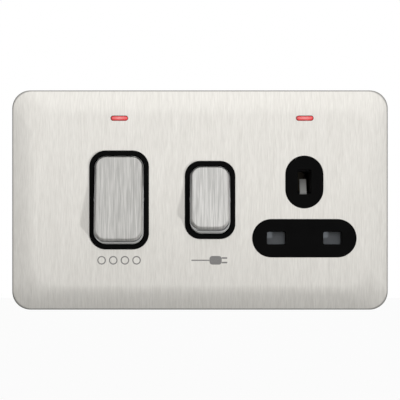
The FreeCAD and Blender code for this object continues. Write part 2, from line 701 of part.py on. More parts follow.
for name, x in (("cooker_neon", cooker_neon_x), ("socket_neon", socket_neon_x)):
    lens_front = plate_front - lens_proud
    lens = slab(lens_size[0], lens_size[1], lens_size[1] / 2 - 0.01, lens_front, web_back + 0.5, x, neon_z)
    lens = soften(lens, 0.6, at_y(lens_front))
    flange = slab(lens_flange[0], lens_flange[1], 1.0, web_back + fit, web_back + 1.0, x, neon_z)
    save(name + "_lens", fused(lens, flange))
    lamp = rod(lamp_radius, V(x - 4.2, lamp_y, neon_z), V(x + 4.0, lamp_y, neon_z))
    lamp = soften(lamp, 0.9, lambda e: True)
    save(name + "_lamp", lamp)
    resistor = rod(1.1, V(x - 3.0, resistor_y, neon_z), V(x + 3.3, resistor_y, neon_z))
    waist = rod(1.6, V(x - 1.6, resistor_y, neon_z), V(x + 1.9, resistor_y, neon_z))
    waist = waist.cut(rod(0.9, V(x - 1.6, resistor_y, neon_z), V(x + 1.9, resistor_y, neon_z)))
    save(name + "_resistor", soften(resistor, 0.4, lambda e: True).cut(waist))
    save(name + "_leads", *[wire_lead(points, 0.45) for points in leads[name]])

# Shutter: covers both live slots and slides down when the earth pin pushes on its ramp
window_z = (live_z - 0.8, -0.8)
sheet = slab(shutter_width, shutter_top - shutter_low, 1.0, shutter_front, shutter_back, socket_x,
             (shutter_top + shutter_low) / 2)
stem = slab(7.2, 14.6, 0.8, shutter_front, shutter_back, socket_x, -6.6)
ramp_foot = earth_z - earth_slot[1] / 2 + 0.6
ramp = prism_x([(shutter_back, ramp_top), (shutter_back, -0.4), (shutter_front, -0.4),
                (shutter_front, ramp_foot)], socket_x - ramp_half, socket_x + ramp_half)
shutter = fused(sheet, stem, ramp)
shutter = shutter.cut(block(socket_x - 1.7, socket_x + 1.7, shutter_front - 1, shutter_back + 1,
                            window_z[0], window_z[1]))
shutter = soften(shutter, 0.5, lambda e: at_y(shutter_front)(e) and e.CenterOfMass.z > shutter_top - 0.05
                 and e.BoundBox.XLength > 8)
save("shutter", shutter.Solids[0])
peg_z = (live_z + 0.1, live_z + 1.2)
spring_y = (shutter_front + shutter_back) / 2
save("shutter_spring", coil(V(socket_x, spring_y, peg_z[1] + fit), V(socket_x, spring_y, window_z[1] - fit),
                            1.0, 0.18, 8))

# Carrier: plate that keeps the shutter in its rails, with holes for the pins and the spring peg
carrier_back = carrier_front + carrier_gauge
carrier = slab(shutter_width + 2.8, 15.0, 1.6, carrier_front, carrier_back, socket_x, live_z - 1.6)
carrier = fused(carrier, slab(2 * hook_offset + 3.6, 14.0, 1.6, carrier_front, carrier_back, socket_x, -4.0),
                slab(13.0, 16.0, 1.6, carrier_front, carrier_back, socket_x, earth_z - 1),
                block(socket_x - 1.4, socket_x + 1.4, shutter_front + 0.2, carrier_front + 0.5,
                      peg_z[0], peg_z[1]))
for slot, x, z in sockets:
    carrier = carrier.cut(slab(slot[0] + 0.6, slot[1] + 0.6, 0.8, carrier_front - 1, carrier_back + 1, x, z))
for side in (-1, 1):
    x = socket_x + side * hook_offset
    carrier = carrier.cut(rod(0.9 + fit, V(x, carrier_front - 1, hook_z), V(x, carrier_back + 1, hook_z)))
save("shutter_carrier", carrier)

# Rear case: deep box with screw columns, terminal tunnels, strip supports and contact chambers
middle_x = (case_left + case_right) / 2
case_width = case_right - case_left
case = slab(case_width, 2 * case_half, case_radius, web_back + fit, case_back, middle_x, 0)
case = soften(case, 1.2, at_y(case_back))
inner_wall = case_half - case_wall
case = case.cut(slab(case_width - 2 * case_wall, 2 * inner_wall, case_radius - case_wall,
                     -9, floor_front, middle_x, 0))
ribs = []
for x in (cooker_x, neutral_x - half - 1.2, line_x + half + 1.2):
    ribs.append(block(x - 0.6, x + 0.6, pocket_back + 2, floor_front, -inner_wall, -block_near + 3))
    ribs.append(block(x - 0.6, x + 0.6, pocket_back + 2, floor_front, block_near - 3, inner_wall))
for x in (earth_block[0] - 1.0, earth_block[1] + 1.0):
    ribs.append(block(x - 0.6, x + 0.6, pocket_back + 5, floor_front, block_near - 1, inner_wall))
ribs.append(block(cooker_x - 0.6, cooker_x + 0.6, 10.0, floor_front, -block_near, block_near))
for x in (neutral_x, line_x, switch_x):
    ribs.append(block(x - 1.8, x + 1.8, strip_back + fit, floor_front, -14, 14))
ribs.append(block(tail_x[0] + 1, line_pin_x, strip_back + fit, floor_front, tail_z[0] + 1.4, tail_z[0] + 2.6))
feed_middle = (feed_z[0] + feed_z[1]) / 2
ribs.append(block(line_x + half + 5, switch_x, strip_back + fit, floor_front,
                  feed_middle - 0.6, feed_middle + 0.6))
for x, z in column_spots:
    ribs.append(rod(column_radius, V(x, pocket_back + fit, z), V(x, floor_front + 0.5, z)))
for ring, opening, x, radius in rings:
    for side in (-1, 1):
        wall_x = x + side * (opening[0] / 2 + pocket_wall / 2)
        keeper = pivot_radius - gap
        ribs.append(block(wall_x - 0.5, wall_x + 0.5, pivot_y + pivot_radius + fit, floor_front,
                          -keeper, keeper))
        outer_x = x + side * (opening[0] / 2 + pocket_wall + 0.9)
        ribs.append(block(min(wall_x, outer_x), max(wall_x, outer_x), pocket_back + 1, floor_front,
                          -3.0, 3.0))
chamber_walls = []
for x in (neutral_pin_x, line_pin_x):
    chamber_walls.append(slab(9.6, 11.6, 1.2, 6.2, floor_front, x, live_z).cut(
        slab(7.0, 8.4, 0.4, 6, floor_front, x, live_z)))
chamber_walls.append(slab(10.6, 11.6, 1.2, 6.2, floor_front, socket_x, earth_z).cut(
    slab(8.0, 9.0, 0.4, 6, floor_front, socket_x, earth_z)))
ribs.append(block(socket_x - 0.6, socket_x + 0.6, carrier_front + carrier_gauge + gap, floor_front,
                  -24, live_z + 12))
pods = []
for x in neons:
    pod = slab(pod_size[0], pod_size[1], 1.6, web_back + fit, pod_back, x, neon_z)
    pod = pod.cut(slab(pod_size[0] - 2 * pod_wall, pod_size[1] - 2 * pod_wall, 0.6,
                       -9, pod_back - pod_wall, x, neon_z))
    cradles = [block(s - 0.5, s + 0.5, lamp_y - 0.8, pod_back, neon_z - 3.1, neon_z + 3.1)
               for s in (x - 2.2, x + 2.2)]
    pods.append(fused(pod, *cradles))
collars = []
for x, z in terminal_spots:
    collar = rod(4.3, V(x, floor_front, z), V(x, case_back + 1.0, z))
    collars.append(bevel(collar, 0.3, at_y(case_back + 1.0)))
entries = [(line_x, 1, cable_radius), (neutral_x, 1, cable_radius), (line_x, -1, cable_radius),
           (neutral_x, -1, cable_radius), (earth_bores[0], 1, 2.3), (earth_bores[1], 1, 2.3)]
for x, side, radius in entries:
    collars.append(rod(radius + 1.5, V(x, cable_y, side * inner_wall),
                       V(x, cable_y, side * (case_half + 1.0))))
case = fused(case, *ribs, *chamber_walls, *pods, *collars)

# Room for everything that the case holds
room = []
for x in neons:
    room.append(block(x - 7.0, x + 7.0, -9, lamp_y - 2.0, neon_z - 3.6, neon_z + 3.6))
    room.append(block(x - 7.0, x + 7.0, -9, pod_back - 3.4, neon_z - 6.3, neon_z - 2.9))
    room.append(rod(lamp_radius + 0.1, V(x - 6, lamp_y, neon_z), V(x + 6, lamp_y, neon_z)))
    room.append(block(x - 6, x + 6, -1, lamp_y, neon_z - lamp_radius - 0.1, neon_z + lamp_radius + 0.1))
    room.append(rod(1.2, V(x - 6, resistor_y, neon_z), V(x + 6, resistor_y, neon_z)))
    room.append(block(x - 6, x + 6, lamp_y, resistor_y, neon_z - 1.2, neon_z + 1.2))
for x, side, radius in entries:
    room.append(rod(radius + 0.4, V(x, cable_y, side * block_far), V(x, cable_y, side * (case_half + 9))))
for x, z in terminal_spots:
    room.append(rod(screw_head_radius + 0.25, V(x, 20, z), V(x, 40, z)))
for x, z in column_spots:
    room.append(rod(1.5, V(x, 0, z), V(x, 40, z)))
    room.append(rod(2.25, V(x, case_back - 3.25, z), V(x, 40, z)))
for x0, x1, side in ((line_x - half, line_x + half, 1), (neutral_x - half, neutral_x + half, 1),
                     (line_x - half, line_x + half, -1), (neutral_x - half, neutral_x + half, -1),
                     (earth_block[0], earth_block[1], 1)):
    z0, z1 = sorted((side * block_near, side * block_far))
    room.append(block(x0, x1, block_front, block_back, z0, z1, gap))
for x in (line_x, neutral_x):
    room.append(block(x - 2.5, x + 2.5, strip_front, strip_back, -18, post_radius, fit))
    room.append(block(x - 2.5, x + 2.5, strip_front, strip_back, contact_z - 2.2, 18, fit))
room.append(block(switch_x - 2.5, switch_x + 2.5, strip_front, strip_back, feed_z[0], 12, fit))
room.append(block(line_x + half, switch_x + 2.5, strip_front, strip_back, feed_z[0], feed_z[1], fit))
room.append(block(switch_x, tail_x[1], strip_front, strip_back, contact_z - 2.2, contact_z + 2.5, fit))
room.append(block(tail_x[0], tail_x[1], strip_front, strip_back, tail_z[0], 12, fit))
room.append(block(tail_x[0], line_pin_x + 3, strip_front, strip_back, tail_z[0], tail_z[1], fit))
room.append(block(line_pin_x - 3, line_pin_x + 3, strip_front, strip_back, tail_z[0], live_z, fit))
room.append(block(link_x[0], neutral_pin_x + 2, link_front, link_back, link_z[0], link_z[1], fit))
room.append(block(link_x[0], link_x[1], link_front, link_back, -block_near, link_z[1], fit))
room.append(block(neutral_pin_x - 5.5, neutral_pin_x + 2, strip_front, link_back, link_z[0], link_z[1], fit))
room.append(block(socket_x - 2, socket_x + 2, earth_web, earth_web + strip_gauge,
                  earth_z, earth_tail_z[1], fit))
room.append(block(earth_block[1], socket_x + 2, earth_web, earth_web + strip_gauge, earth_tail_z[0],
                  earth_tail_z[1], fit))
for points in leads["cooker_neon"] + leads["socket_neon"]:
    room.append(wire_lead(points, 0.75))
for x in (line_x, neutral_x, switch_x):
    room.append(block(x - 2.9, x + 2.9, 9, strip_front, -12.5, 13.0))
case = case.cut(room)

# Bay in the side of the case that clears the fixing lug of the wall box
bay_x = fixing_pitch / 2 - 5.7
bay = slab(30, 14.4, 1.5, web_back - 1, case_back + 3, bay_x + 15, 0)
bay_wall = slab(30 + 2 * 1.3, 14.4 + 2 * 1.3, 2.8, web_back + fit, case_back - 1.2, bay_x + 15, 0)
bay_wall = bay_wall.common(block(bay_x - 3, case_right - 0.1, -9, 40, -20, 20))
case = fused(case, bay_wall).cut(bay)
save("rear_housing", case)
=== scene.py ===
import math

import bmesh
import bpy
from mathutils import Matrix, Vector


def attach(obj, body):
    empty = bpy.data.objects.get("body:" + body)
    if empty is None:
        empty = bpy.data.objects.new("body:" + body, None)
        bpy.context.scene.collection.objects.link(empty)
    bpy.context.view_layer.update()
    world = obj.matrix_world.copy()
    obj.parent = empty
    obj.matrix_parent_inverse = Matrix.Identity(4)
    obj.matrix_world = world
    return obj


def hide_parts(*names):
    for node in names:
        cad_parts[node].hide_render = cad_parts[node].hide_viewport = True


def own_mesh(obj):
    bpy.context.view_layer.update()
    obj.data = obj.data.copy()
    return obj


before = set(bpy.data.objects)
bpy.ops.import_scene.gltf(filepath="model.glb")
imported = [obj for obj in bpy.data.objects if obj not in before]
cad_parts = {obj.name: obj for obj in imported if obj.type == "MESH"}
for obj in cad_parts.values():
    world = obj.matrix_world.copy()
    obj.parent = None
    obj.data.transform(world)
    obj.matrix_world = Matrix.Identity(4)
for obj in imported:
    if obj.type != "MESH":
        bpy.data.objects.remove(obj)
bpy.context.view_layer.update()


# Cover plate. One pressing of 1 mm steel with a flat face, a shallow crowned border and a short skirt
# that snaps over the black moulding. The face is brushed upright, so its highlights spread sideways.
PLATE = Vector((0.149, 0.087))
PLATE_CORNER = 0.0072
PLATE_FACE = -0.005
PLATE_EDGE = -0.0002
STEEL_GAUGE = 0.001
SLOPE = 0.0058
SLOPE_STEEP = math.radians(19)
SLOPE_FLAT = math.radians(7)
SLOPE_CORNER = 0.0086
RIM = 0.0008
CREASE = 0.03
SKIRT_Y = -0.0035
HOLE_GAP = 0.00015
COOKER = Vector((-0.03195, 0, 0))
SWITCH = Vector((0.00397, 0, 0))
SOCKET_X = 0.0412
COOKER_RING = (0.0233, 0.0388, 0.0063)
SWITCH_RING = (0.0197, 0.0306, 0.0059)
EARTH_FACE = (0.0148, 0.0206, 0.0071)
LIVE_FACE = (0.041, 0.0149, -0.0151)
NEONS = {"cooker_neon": -0.03185, "socket_neon": 0.04135}
NEON_Z = 0.0323
WINDOW = (0.0067, 0.0018)


def rest():
    """Leave edit mode and let go of everything."""
    if bpy.context.mode != "OBJECT":
        bpy.ops.object.mode_set(mode="OBJECT")
    bpy.ops.object.select_all(action="DESELECT")


def edit(piece):
    rest()
    bpy.context.view_layer.objects.active = piece
    piece.select_set(True)
    bpy.ops.object.mode_set(mode="EDIT")
    bpy.ops.mesh.select_mode(type="VERT")


def pick(piece, wanted):
    """Select only the corners whose place passes the test."""
    bpy.ops.mesh.select_all(action="DESELECT")
    shape = bmesh.from_edit_mesh(piece.data)
    for corner in shape.verts:
        corner.select = wanted(corner.co)
    shape.select_flush(True)
    bmesh.update_edit_mesh(piece.data)


def drawn(name, rings, x=0.0, z=0.0, arc=8, front=True, back=True):
    """Shell drawn through round-cornered frames (width, height, corner, y), one behind the other."""
    rest()
    piece = None
    for width, height, corner, y in rings:
        if piece is not None:
            bpy.ops.mesh.select_all(action="DESELECT")
        bpy.ops.mesh.primitive_plane_add(size=1, location=(x, y, z), rotation=(math.pi / 2, 0, 0))
        if piece is None:
            piece = bpy.context.object
            piece.name = name
            piece.data.name = name
            bpy.ops.object.transform_apply(location=True, rotation=True, scale=True)
            edit(piece)
            bpy.ops.mesh.select_all(action="SELECT")
        bpy.ops.transform.resize(value=(width, 1, height), center_override=(x, y, z))
        bpy.ops.mesh.bevel(offset=min(corner, 0.499 * min(width, height)), segments=arc, affect="VERTICES")
        bpy.ops.mesh.delete(type="ONLY_FACE")
    for one, two in zip(rings, rings[1:]):
        pick(piece, lambda place: min(abs(place.y - one[3]), abs(place.y - two[3])) < 2e-7)
        bpy.ops.mesh.bridge_edge_loops()
    for wanted, ring in ((front, rings[-1]), (back, rings[0])):
        if wanted:
            pick(piece, lambda place: abs(place.y - ring[3]) < 2e-7)
            bpy.ops.mesh.edge_face_add()
    bpy.ops.mesh.select_all(action="SELECT")
    bpy.ops.mesh.normals_make_consistent(inside=False)
    rest()
    return piece


def finish_with(piece, kind, **settings):
    """Add a modifier and apply it."""
    rest()
    bpy.context.view_layer.objects.active = piece
    piece.select_set(True)
    step = piece.modifiers.new(kind.lower(), kind)
    for key, value in settings.items():
        setattr(step, key, value)
    bpy.ops.object.modifier_apply(modifier=step.name)


def punch(piece, cutter):
    """Cut a hole of the cutter's shape through the piece."""
    finish_with(piece, "BOOLEAN", operation="DIFFERENCE", solver="EXACT", object=cutter)
    bpy.data.objects.remove(cutter)


def smooth(piece, degrees=35):
    rest()
    bpy.context.view_layer.objects.active = piece
    piece.select_set(True)
    bpy.ops.object.shade_smooth_by_angle(angle=math.radians(degrees))


class Signal:
    """A number that changes over a surface, written like a plain number."""

    def __init__(self, tree, socket):
        self.tree = tree
        self.socket = socket

    def maths(self, operation, *values):
        node = self.tree.nodes.new("ShaderNodeMath")
        node.operation = operation
        for slot, value in zip(node.inputs, values):
            if isinstance(value, Signal):
                self.tree.links.new(value.socket, slot)
            else:
                slot.default_value = value
        return Signal(self.tree, node.outputs[0])

    def __add__(self, other):
        return self.maths("ADD", self, other)

    def __sub__(self, other):
        return self.maths("SUBTRACT", self, other)

    def __rsub__(self, other):
        return self.maths("SUBTRACT", other, self)

    def __mul__(self, other):
        return self.maths("MULTIPLY", self, other)

    __radd__ = __add__
    __rmul__ = __mul__


class Finish:
    """One material: its shader and the nodes that feed it."""

    def __init__(self, name, **sockets):
        self.material = bpy.data.materials.new(name)
        self.material.use_nodes = True
        self.tree = self.material.node_tree
        self.shader = self.tree.nodes["Principled BSDF"]
        for key, value in sockets.items():
            self.feed(key.replace("_", " "), value)

    def feed(self, socket, value):
        target = self.shader.inputs[socket]
        if isinstance(value, Signal):
            self.tree.links.new(value.socket, target)
        else:
            target.default_value = value

    def node(self, kind, settings=None, values=None, out=0):
        node = self.tree.nodes.new(kind)
        for key, value in (settings or {}).items():
            setattr(node, key, value)
        for key, value in (values or {}).items():
            if isinstance(value, Signal):
                self.tree.links.new(value.socket, node.inputs[key])
            else:
                node.inputs[key].default_value = value
        return Signal(self.tree, node.outputs[out])

    def place(self, scale=(1, 1, 1)):
        spot = self.node("ShaderNodeTexCoord", out="Object")
        return self.node("ShaderNodeMapping", values={"Vector": spot, "Scale": scale})

    def along(self, axis):
        """Place on the piece along one axis, in metres."""
        return self.node("ShaderNodeSeparateXYZ", values={0: self.place()}, out=axis)

    def noise(self, scale, detail=2.0):
        return self.node("ShaderNodeTexNoise",
                         values={"Vector": self.place(scale), "Scale": 1.0, "Detail": detail})

    def tint(self, share, dark, light):
        """Colour that runs from dark to light as the share goes from 0 to 1."""
        ends = [end if isinstance(end, Signal) else (*end, 1) for end in (dark, light)]
        return self.node("ShaderNodeMix", {"data_type": "RGBA"}, {0: share, 6: ends[0], 7: ends[1]}, out=2)

    def bump(self, height, distance):
        self.feed("Normal", self.node("ShaderNodeBump",
                                      values={"Height": height, "Distance": distance, "Strength": 1.0}))

    def onto(self, piece):
        piece.data.materials.clear()
        piece.data.materials.append(self.material)


def brushed_steel(name, dark, light, contrast, stretch=1.0):
    """Steel with a fine upright grain; more stretch makes the grain finer and longer. Everything behind
    SKIRT_Y, such as the plate's skirt, is painted shade, far darker.
    """
    steel = Finish(name, Metallic=0.5)
    fine = steel.noise((6000, 80, 320 / stretch), 3.0)
    streak = steel.noise((2300 * stretch, 40, 210 / stretch), 3.0)
    broad = steel.noise((600 * stretch, 30, 50), 2.0)
    grain = (fine * 0.3 + streak * 0.45 + broad * 0.25 - 0.5) * contrast + 0.5
    # Painted shade: behind SKIRT_Y (the plate's skirt and rolled edge) the colour turns far darker, to about a
    # third of the light grain colour.
    painted_skirt_shade = steel.along("Y").maths("MULTIPLY_ADD", steel.along("Y"), 5000.0, -SKIRT_Y * 5000.0)
    painted_skirt_shade = painted_skirt_shade.maths("MINIMUM", painted_skirt_shade.maths("MAXIMUM", painted_skirt_shade, 0.0), 1.0)
    steel.feed("Base Color", steel.tint(painted_skirt_shade, steel.tint(grain, dark, light), [0.35 * part for part in light]))
    steel.feed("Roughness", 0.34 + (fine - 0.5) * 0.16 + (streak - 0.5) * 0.1)
    steel.bump(fine + streak * 0.6, 0.00002)
    return steel


def border(inset_start, angle_start, angle_end, radius, steps):
    """Points (inset, rise) along an arc whose slope falls from one angle to the other."""
    points = []
    for step in range(steps + 1):
        angle = angle_start + (angle_end - angle_start) * step / steps
        points.append((inset_start + radius * (math.sin(angle_start) - math.sin(angle)),
                       radius * (math.cos(angle) - math.cos(angle_start))))
    return points


bend = SLOPE / (math.sin(SLOPE_STEEP) - math.sin(SLOPE_FLAT))
profile = border(0.0, math.pi / 2, SLOPE_STEEP, RIM, 6)
for radius, start, end, steps in ((bend, SLOPE_STEEP, SLOPE_FLAT, 6), (CREASE, SLOPE_FLAT, 0.0, 6)):
    inset, rise = profile[-1]
    profile += [(i, rise + r) for i, r in border(inset, start, end, radius, steps)[1:]]
height_of_border = profile[-1][1]
frames = [(PLATE.x, PLATE.y, PLATE_CORNER, PLATE_EDGE)]
for inset, rise in profile:
    corner = PLATE_CORNER + (SLOPE_CORNER - PLATE_CORNER) * min(inset / SLOPE, 1)
    frames.append((PLATE.x - 2 * inset, PLATE.y - 2 * inset, corner, PLATE_FACE + height_of_border - rise))
plate = drawn("cover_plate", frames, arc=12, back=False)
finish_with(plate, "SOLIDIFY", thickness=STEEL_GAUGE, offset=-1.0)

holes = []
for name, centre, (width, height, corner) in (("cooker_hole", COOKER, COOKER_RING),
                                              ("switch_hole", SWITCH, SWITCH_RING)):
    holes.append((name, width, height, corner, centre.x, 0.0))
for name, (width, height, z) in (("earth_hole", EARTH_FACE), ("live_hole", LIVE_FACE)):
    holes.append((name, width, height, min(width, height) / 2, SOCKET_X, z))
for name, x in NEONS.items():
    holes.append((name + "_hole", *WINDOW, WINDOW[1] / 2, x, NEON_Z))
for name, width, height, corner, x, z in holes:
    grown = (width + 2 * HOLE_GAP, height + 2 * HOLE_GAP, corner + HOLE_GAP)
    punch(plate, drawn(name, [(*grown, -0.002), (*grown, -0.008)], x, z, arc=12))
prise_slot = (0.009, 0.004, 0.0014)
punch(plate, drawn("prise_slot", [(*prise_slot, 0.001), (*prise_slot, -0.0011)], 0, -PLATE.y / 2))
finish_with(plate, "BEVEL", width=0.00012, segments=2, limit_method="ANGLE", angle_limit=math.radians(60))
smooth(plate)
finish_with(plate, "WEIGHTED_NORMAL", mode="FACE_AREA", weight=50, keep_sharp=True)
plate_steel = brushed_steel("brushed_plate_steel", (0.60, 0.58, 0.54), (0.84, 0.82, 0.775), 2.0)
plate_steel.onto(plate)
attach(plate, "unit")
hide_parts("faceplate")


# Rocker skins. Steel caps pressed over the two plastic rockers, brushed like the plate, with rolled
# edges and walls that flare a little towards the back. Both lie switched off, bottom out.
PIVOT_Y = -0.004
FACE_REACH = 0.0045
CAP_SKIRT = 0.002
CAP_FLARE = 0.0004
CAP_EDGE = 0.00055
CAP_CORNER = 0.0038
CAP_GAUGE = 0.00055


def rocker_skin(name, body, node, centre, size, rise, tilt, steel):
    face_y = PIVOT_Y - FACE_REACH

    def across(y, inset):
        grow = CAP_FLARE * (y - face_y) / CAP_SKIRT - inset
        return (size[0] + 2 * grow, size[1] + 2 * grow, CAP_CORNER + grow, y)

    sections = [across(face_y + CAP_SKIRT, 0.0)]
    for step in range(8):
        angle = math.radians(90 * step / 7)
        sections.append(across(face_y + CAP_EDGE * (1 - math.sin(angle)), CAP_EDGE * (1 - math.cos(angle))))
    cap = drawn(name, sections, centre.x, rise, arc=10, back=False)
    finish_with(cap, "SOLIDIFY", thickness=CAP_GAUGE, offset=-1.0)
    edit(cap)
    bpy.ops.mesh.select_all(action="SELECT")
    bpy.ops.transform.rotate(value=math.radians(tilt), orient_axis="X", center_override=(centre.x, PIVOT_Y, 0))
    rest()
    smooth(cap, 40)
    finish_with(cap, "WEIGHTED_NORMAL", mode="FACE_AREA", weight=50, keep_sharp=True)
    steel.onto(cap)
    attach(cap, body)
    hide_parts(node)


# Painted shade: the caps are the plate's steel painted darker, the cooker cap more than the socket cap.
cooker_cap_shaded_steel = brushed_steel("brushed_cooker_cap_painted_shade", (0.36, 0.355, 0.34), (0.545, 0.535, 0.515), 7.6, 2.2)
socket_cap_shaded_steel = brushed_steel("brushed_socket_cap_painted_shade", (0.40, 0.395, 0.38), (0.605, 0.595, 0.575), 8.2, 2.2)
rocker_skin("cooker_rocker_skin", "cooker_rocker", "cooker_rocker_cap", COOKER, (0.018, 0.0327), 0.00015,
            8.0, cooker_cap_shaded_steel)
rocker_skin("socket_rocker_skin", "socket_rocker", "socket_rocker_cap", SWITCH, (0.0144, 0.0241), 0.0003,
            10.0, socket_cap_shaded_steel)


# Front moulding, rear case and the rocker bodies. Injection moulded plastic: glossy black where it shows
# through the plate, dull dark grey behind the wall, and a lighter grey for the rockers and plungers.
def moulded(name, dark, light, roughness, grain, depth, gloss=0.5):
    """Moulded plastic with a faint sheen pattern and a spark-eroded grain."""
    plastic = Finish(name, Specular_IOR_Level=gloss)
    flow = plastic.noise((160, 160, 160), 3.0)
    spark = plastic.noise((grain, grain, grain), 2.0)
    plastic.feed("Base Color", plastic.tint(flow * 0.6 + spark * 0.4, dark, light))
    plastic.feed("Roughness", roughness + (flow - 0.5) * 0.14)
    plastic.bump(spark, depth)
    return plastic


def dress(finish, *nodes):
    for node in nodes:
        finish.onto(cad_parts[node])


dress(moulded("gloss_black_moulding", (0.0015, 0.0015, 0.0015), (0.004, 0.004, 0.004), 0.34, 2600, 0.000008,
              gloss=0.02), "front_moulding")
dress(moulded("dull_case_plastic", (0.028, 0.029, 0.032), (0.05, 0.051, 0.055), 0.55, 1500, 0.00003),
      "rear_housing")
dress(moulded("rocker_body_plastic", (0.36, 0.36, 0.355), (0.45, 0.45, 0.44), 0.4, 2200, 0.00001),
      "cooker_rocker", "socket_rocker", "cooker_plungers", "socket_plunger")


# Shutter and its carrier. Grey low-friction plastic; the shutter blocks the two live slots and its ramp
# shows in the earth slot, where the long earth pin pushes it down.
dress(moulded("carrier_plastic", (0.03, 0.03, 0.032), (0.05, 0.05, 0.053), 0.42, 1800, 0.00001),
      "shutter_carrier")
shutter_grey = moulded("shutter_plastic", (0.11, 0.12, 0.13), (0.15, 0.16, 0.17), 0.42, 1800, 0.00001)
# The shutter's colour runs from dark grey at the live slots to light grey towards the top, where its ramp shows
# in the earth slot.
height = shutter_grey.along("Z")
lighter_upward = height.maths("MULTIPLY_ADD", height, 150.0, 0.5)
lighter_upward = lighter_upward.maths("MINIMUM", lighter_upward.maths("MAXIMUM", lighter_upward, 0.0), 1.0)
shutter_grey.feed("Base Color", shutter_grey.tint(lighter_upward, (0.145, 0.158, 0.172), (0.46, 0.46, 0.44)))
dress(shutter_grey, "shutter")


# Neon indicators. A clear red window set in the plate, with a glass neon lamp, its series resistor and
# two white leads behind it. The window is a moulded bar with a rounded front and a flange inside.
LENS_FRONT = -0.00515
LENS_FLANGE = (0.0094, 0.0042, 0.001)
LENS_ROUND = 0.0006
lens_red = Finish("neon_window_red", Roughness=0.12, IOR=1.49, Transmission_Weight=0.2, Coat_Weight=0.6)
swirl = lens_red.noise((900, 900, 900), 3.0)
across = lens_red.along("X")
height = lens_red.along("Z")
reach = [across.maths("ABSOLUTE", across - x) for x in NEONS.values()]
reach = reach[0].maths("MINIMUM", *reach)
# Painted highlight: each window's colour turns pale pink along its middle.
painted_highlight = (1 - reach * 260) * (1 - height.maths("ABSOLUTE", height - NEON_Z) * 1050) + (swirl - 0.5) * 0.2
painted_highlight = painted_highlight.maths("MAXIMUM", painted_highlight, 0.0)
lens_red.feed("Base Color", lens_red.tint(painted_highlight, (0.85, 0.03, 0.035), (1.0, 0.33, 0.33)))
lens_red.bump(swirl, 0.00001)
for name, x in NEONS.items():
    sections = [(*LENS_FLANGE, -0.00085), (*LENS_FLANGE, -0.0018), (*WINDOW, WINDOW[1] / 2, -0.00181)]
    for step in range(7):
        angle = math.radians(90 * step / 6)
        inset = LENS_ROUND * (1 - math.cos(angle))
        sections.append((WINDOW[0] - 2 * inset, WINDOW[1] - 2 * inset, WINDOW[1] / 2 - inset,
                         LENS_FRONT + LENS_ROUND * (1 - math.sin(angle))))
    lens = drawn(name + "_window", sections, x, NEON_Z, arc=8)
    smooth(lens, 40)
    lens_red.onto(lens)
    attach(lens, "unit")
    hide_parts(name + "_lens")

lamp_glass = Finish("neon_lamp_glass", Roughness=0.05, IOR=1.5, Transmission_Weight=0.8)
haze = lamp_glass.noise((700, 700, 700), 2.0)
lamp_glass.feed("Base Color", lamp_glass.tint(haze, (0.86, 0.8, 0.76), (0.95, 0.93, 0.9)))
dress(lamp_glass, "cooker_neon_lamp", "socket_neon_lamp")
resistor_coat = Finish("resistor_lacquer", Roughness=0.35)
bands = resistor_coat.noise((1400, 10, 10), 0.0)
resistor_coat.feed("Base Color", resistor_coat.tint(bands * 3.0 - 1.0, (0.30, 0.13, 0.04), (0.72, 0.56, 0.36)))
dress(resistor_coat, "cooker_neon_resistor", "socket_neon_resistor")
dress(moulded("lead_sleeve", (0.62, 0.61, 0.57), (0.76, 0.75, 0.72), 0.5, 1800, 0.00001),
      "cooker_neon_leads", "socket_neon_leads")


# Switch gear. Stamped brass strips, clips and terminal pillars, silver contact tips riveted to them,
# plated steel screws and drawn spring wire.
def worked_metal(name, dark, light, roughness, scale):
    """Metal straight from the press or the lathe, with light scuffs and some tarnish."""
    metal = Finish(name, Metallic=1.0)
    scuffs = metal.noise(scale, 4.0)
    tarnish = metal.noise((130, 130, 130), 3.0)
    metal.feed("Base Color", metal.tint(scuffs * 0.4 + tarnish * 0.6, dark, light))
    metal.feed("Roughness", roughness + (scuffs - 0.5) * 0.2)
    metal.bump(scuffs, 0.000015)
    return metal


# Painted shade: the earth contact is given a far darker colour than the other brass, for its place deep behind
# the earth slot.
dress(worked_metal("earth_contact_brass_painted_shade", (0.09, 0.078, 0.06), (0.15, 0.13, 0.1), 0.5, (900, 900, 4200)),
      "earth_contact")
dress(worked_metal("stamped_brass", (0.52, 0.36, 0.15), (0.80, 0.60, 0.30), 0.32, (900, 900, 4200)),
      "supply_terminal_line", "supply_terminal_neutral", "load_terminal_line", "load_terminal_neutral",
      "socket_feed_strip", "line_contact", "neutral_contact", "earth_terminal",
      "line_contact_arm", "neutral_contact_arm", "socket_contact_arm")
dress(worked_metal("silver_contact", (0.78, 0.77, 0.74), (0.92, 0.91, 0.89), 0.25, (2400, 2400, 2400)),
      "line_arm_rivet", "neutral_arm_rivet", "socket_arm_rivet", "fixed_rivets")
dress(worked_metal("zinc_plated_steel", (0.58, 0.56, 0.46), (0.76, 0.74, 0.64), 0.3, (2200, 2200, 2200)),
      "terminal_screws", "housing_screws")
dress(worked_metal("spring_wire", (0.45, 0.45, 0.46), (0.62, 0.62, 0.63), 0.3, (3000, 3000, 900)),
      "cooker_plunger_springs", "socket_plunger_spring", "shutter_spring", "plate_earth_spring")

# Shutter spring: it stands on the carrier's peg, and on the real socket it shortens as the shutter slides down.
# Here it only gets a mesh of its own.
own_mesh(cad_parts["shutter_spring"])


# Printed marks under the two rockers, in grey ink: a row of four hob rings for the cooker and a plug on
# its cable for the socket. Each is a skin of ink a few hundredths of a millimetre thick.
MARK_Z = -0.0238
INK = 0.00003
INK_LINE = 0.00045
ink = Finish("grey_ink", Roughness=0.55)
speckle = ink.noise((2500, 2500, 2500), 2.0)
ink.feed("Base Color", ink.tint(speckle, (0.15, 0.146, 0.142), (0.22, 0.215, 0.21)))


